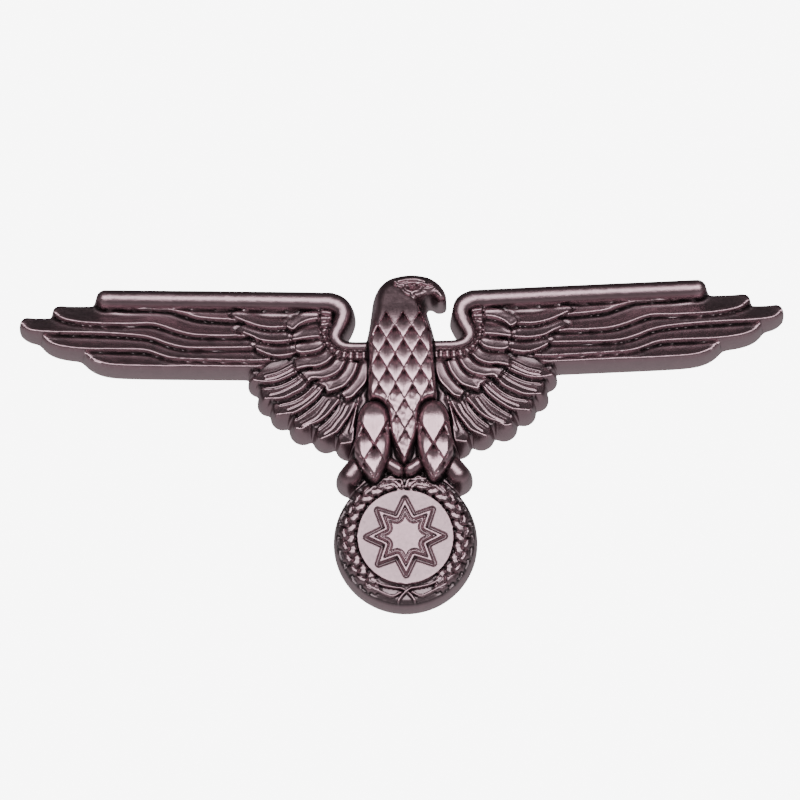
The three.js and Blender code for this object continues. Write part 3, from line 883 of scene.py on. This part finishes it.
def knurled_nut(name):
    bore, grip = NUT_BORE, KNURL["radius"]
    profile = [(bore + 0.08, 0), (2.75, 0), (2.85, 0.1), (2.75, 0.25), (2.28, 0.25), (2.2, 0.33),
               (2.2, 1.18), (2.3, 1.25), (3.45, 1.25), (3.6, 1.3)]
    profile += rows_between((grip, 1.5), (grip, 2.95), 0.09)
    profile += [(grip, 2.95), (3.62, 3.15), (3.45, 3.2), (2.9, 3.2), (2.75, 3.12), (2.2, 3.05),
                (1.95, 3.1), (bore + 0.1, 3.2)]
    profile += rows_between((bore, 3.1), (bore, 0.1), STUD["pitch"] / 8)

    def shape(radius, along, turn):
        inside = np.where(np.abs(radius - bore) < 0.01, tapped(radius, along, turn), radius)
        return np.where(radius > grip - 0.01, knurled(radius, along, turn), inside)

    return turned(name, profile, 240, shape)


# ------------------------------------------------------------------ materials


class Nodes:
    """Short hand for building one material's nodes."""

    def __init__(self, name):
        self.material = bpy.data.materials.new(name)
        self.material.use_nodes = True
        self.tree = self.material.node_tree
        self.shader = self.tree.nodes["Principled BSDF"]

    def node(self, kind, inputs=(), **values):
        made = self.tree.nodes.new(kind)
        for key, value in values.items():
            setattr(made, key, value)
        for key, value in dict(inputs).items():
            if isinstance(value, bpy.types.NodeSocket):
                self.tree.links.new(value, made.inputs[key])
            else:
                made.inputs[key].default_value = value
        return made

    def noise(self, scale, detail=3.0, roughness=0.5):
        place = self.node("ShaderNodeTexCoord").outputs["Object"]
        inputs = {"Vector": place, "Scale": scale, "Detail": detail, "Roughness": roughness}
        return self.node("ShaderNodeTexNoise", inputs).outputs["Fac"]

    def ramp(self, factor, stops):
        made = self.node("ShaderNodeValToRGB", {"Fac": factor})
        while len(made.color_ramp.elements) < len(stops):
            made.color_ramp.elements.new(0.5)
        for element, (place, colour) in zip(made.color_ramp.elements, stops):
            element.position = place
            element.color = (*colour, 1.0)
        return made.outputs["Color"]

    def math(self, operation, a, b):
        return self.node("ShaderNodeMath", {0: a, 1: b}, operation=operation).outputs[0]

    def span(self, value, low, high, to_low, to_high):
        inputs = {"Value": value, "From Min": low, "From Max": high, "To Min": to_low, "To Max": to_high}
        return self.node("ShaderNodeMapRange", inputs).outputs["Result"]

    def link(self, value, socket):
        self.tree.links.new(value, self.shader.inputs[socket])

    def bump(self, height, strength, distance):
        made = self.node("ShaderNodeBump", {"Height": height, "Strength": strength, "Distance": distance})
        self.link(made.outputs["Normal"], "Normal")


# Colour of the casting's metal, from the dark of patina and painted shade in its hollows to the tops,
# paled by wear and a painted highlight.
TONES_WITH_PAINTED_LIGHT = [
    (0.0, (0.12, 0.097, 0.104)),
    (0.35, (0.27, 0.188, 0.21)),
    (0.6, (0.34, 0.225, 0.255)),
    (0.85, (0.56, 0.375, 0.42)),
]


def antiqued_casting():
    """Gunmetal plating, dark in the hollows from patina and painted shade and pale on the high parts from
    rubbing and a painted highlight, with a fine tooth.
    """
    m = Nodes("antiqued_gunmetal")
    patina_wear_and_painted_light = m.node("ShaderNodeAttribute", attribute_name="patina_wear_and_painted_light").outputs["Fac"]
    blotch = m.noise(900, 4.0, 0.6)
    speck = m.noise(5200, 2.0, 0.6)
    # Paler on the high parts from wear and a painted highlight, darker in the hollows from patina and
    # painted shade.
    wear_and_painted_highlight = m.span(patina_wear_and_painted_light, -0.2, 0.15, 1.0, 0.0)
    uneven = m.span(blotch, 0.3, 0.7, -0.06, 0.06)
    level = m.math("ADD", wear_and_painted_highlight, uneven)
    colour = m.ramp(level, TONES_WITH_PAINTED_LIGHT)
    m.link(colour, "Base Color")
    m.shader.inputs["Metallic"].default_value = 1.0
    rough = m.math("ADD", m.span(speck, 0.3, 0.7, 0.34, 0.42), m.span(patina_wear_and_painted_light, 0.0, 0.2, 0.0, 0.1))
    m.link(rough, "Roughness")
    m.bump(m.math("ADD", speck, m.math("MULTIPLY", blotch, 0.6)), 0.4, 0.00003)
    return m.material


def nickel_plate():
    m = Nodes("nickel_plate")
    soft = m.noise(700, 3.0)
    m.link(m.ramp(soft, [(0.3, (0.52, 0.5, 0.47)), (0.7, (0.7, 0.68, 0.65))]), "Base Color")
    m.shader.inputs["Metallic"].default_value = 1.0
    m.link(m.span(m.noise(2500, 4.0), 0.3, 0.7, 0.2, 0.34), "Roughness")
    m.bump(m.noise(4000, 2.0), 0.12, 0.00002)
    return m.material


def stud_brass():
    m = Nodes("stud_brass")
    tarnish = m.noise(600, 4.0)
    m.link(m.ramp(tarnish, [(0.3, (0.45, 0.3, 0.12)), (0.7, (0.74, 0.55, 0.25))]), "Base Color")
    m.shader.inputs["Metallic"].default_value = 1.0
    m.link(m.span(m.noise(3000, 3.0), 0.3, 0.7, 0.24, 0.4), "Roughness")
    return m.material


def pale_floor():
    m = Nodes("studio_floor")
    m.link(m.ramp(m.noise(6, 2.0), [(0.3, (0.78, 0.77, 0.76)), (0.7, (0.84, 0.83, 0.82))]), "Base Color")
    m.shader.inputs["Roughness"].default_value = 0.9
    return m.material


# ------------------------------------------------------------------ the badge

casting = eagle_casting()
casting.data.materials.append(antiqued_casting())
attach(casting, "badge")
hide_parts("eagle_casting")

nickel = nickel_plate()
brass = stud_brass()


def fit(piece, side, forward, body, node, material):
    """Puts a turned piece on a stud's axis, in a CAD node's place."""
    piece.data.transform(Matrix.Translation((side * STUD["x"] * MM, forward * MM, 0)))
    piece.data.materials.append(material)
    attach(piece, body)
    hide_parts(node)


for label, side in (("left", -1), ("right", 1)):
    stud = threaded_stud(f"{label}_stud")
    washer = swivel_washer(f"{label}_washer")
    nut = knurled_nut(f"{label}_nut")
    fit(stud, side, 0, "badge", f"{label}_threaded_stud", brass)
    fit(washer, side, WASHER_FRONT, f"{label}_washer", f"{label}_swivel_washer", nickel)
    fit(nut, side, WASHER_FRONT, f"{label}_nut", f"{label}_knurled_nut", nickel)

# ------------------------------------------------------------------ studio

FLOOR_DROP = 0.13  # the floor lies this far below the badge, under the camera's line of sight
FLOOR_HALF = 1.5
CAMERA_DISTANCE = 0.35
CAMERA_RISE = math.radians(-15)
CAMERA_ROLL = math.radians(-1.0)
FIELD_WIDTH = 0.0729  # width of the view at the badge
AIM = Vector((-0.00028, -0.0032, (-4.78 - STUD_LINE) * MM))
# The metal sees dim surroundings, brightest on this side, behind and below the badge. GLOW
# maps how far a direction turns towards that side to how bright it is.
TABLE_SIDE = (0.0, 0.7, -0.714)
GLOW = {"From Min": -0.35, "From Max": 1.0, "To Min": 0.04, "To Max": 0.62}
BACKDROP = 8.0  # strength of the white that only the camera sees


def studio_floor():
    mesh = bpy.data.meshes.new("studio_floor")
    corners = [(x * FLOOR_HALF, y * FLOOR_HALF, 0) for x, y in ((-1, -1), (1, -1), (1, 1), (-1, 1))]
    mesh.from_pydata(corners, [], [(0, 1, 2, 3)])
    obj = bpy.data.objects.new("studio_floor", mesh)
    obj.location.z = -FLOOR_DROP
    obj.data.materials.append(pale_floor())
    obj.visible_glossy = False
    bpy.context.scene.collection.objects.link(obj)


def area_light(name, azimuth, elevation, distance, size, power, in_metal=True):
    """A rectangular light aimed at the badge. in_metal says whether the metal reflects it."""
    data = bpy.data.lights.new(name, "AREA")
    data.shape = "RECTANGLE"
    data.size, data.size_y = size
    data.energy = power
    obj = bpy.data.objects.new(name, data)
    a, e = math.radians(azimuth), math.radians(elevation)
    direction = Vector((math.sin(a) * math.cos(e), -math.cos(a) * math.cos(e), math.sin(e)))
    obj.location = direction * distance
    obj.rotation_mode = "QUATERNION"
    obj.rotation_quaternion = (-direction).to_track_quat("-Z", "Y")
    obj.visible_glossy = in_metal
    bpy.context.scene.collection.objects.link(obj)


def studio_world():
    world = bpy.data.worlds.new("studio")
    bpy.context.scene.world = world
    world.use_nodes = True
    tree = world.node_tree
    background = tree.nodes["Background"]
    seen = tree.nodes.new("ShaderNodeLightPath")
    white = tree.nodes.new("ShaderNodeBackground")
    white.inputs["Color"].default_value = (1, 1, 1, 1)
    white.inputs["Strength"].default_value = BACKDROP
    background.inputs["Color"].default_value = (1, 0.97, 0.98, 1)
    toward = tree.nodes.new("ShaderNodeTexCoord")
    facing = tree.nodes.new("ShaderNodeVectorMath")
    facing.operation = "DOT_PRODUCT"
    facing.inputs[1].default_value = TABLE_SIDE
    tree.links.new(toward.outputs["Generated"], facing.inputs[0])
    glow = tree.nodes.new("ShaderNodeMapRange")
    glow.interpolation_type = "SMOOTHSTEP"
    for socket, value in GLOW.items():
        glow.inputs[socket].default_value = value
    tree.links.new(facing.outputs["Value"], glow.inputs["Value"])
    tree.links.new(glow.outputs["Result"], background.inputs["Strength"])
    mix = tree.nodes.new("ShaderNodeMixShader")
    tree.links.new(seen.outputs["Is Camera Ray"], mix.inputs["Fac"])
    tree.links.new(background.outputs[0], mix.inputs[1])
    tree.links.new(white.outputs[0], mix.inputs[2])
    tree.links.new(mix.outputs[0], tree.nodes["World Output"].inputs["Surface"])


def studio_camera():
    data = bpy.data.cameras.new("camera")
    data.sensor_width = 36.0
    data.lens = data.sensor_width * CAMERA_DISTANCE / FIELD_WIDTH
    data.clip_start = 0.01
    obj = bpy.data.objects.new("camera", data)
    back = Vector((0, -math.cos(CAMERA_RISE), math.sin(CAMERA_RISE)))
    obj.location = AIM + back * CAMERA_DISTANCE
    turn = (-back).to_track_quat("-Z", "Y").to_matrix()
    obj.rotation_euler = (turn @ Matrix.Rotation(CAMERA_ROLL, 3, "Z")).to_euler()
    bpy.context.scene.collection.objects.link(obj)
    bpy.context.scene.camera = obj


studio_floor()
studio_world()
area_light("softbox", azimuth=0, elevation=8, distance=0.5, size=(0.6, 0.32), power=3.6)
area_light("floor_light", azimuth=0, elevation=90, distance=1.6, size=(3, 3), power=150, in_metal=False)
studio_camera()
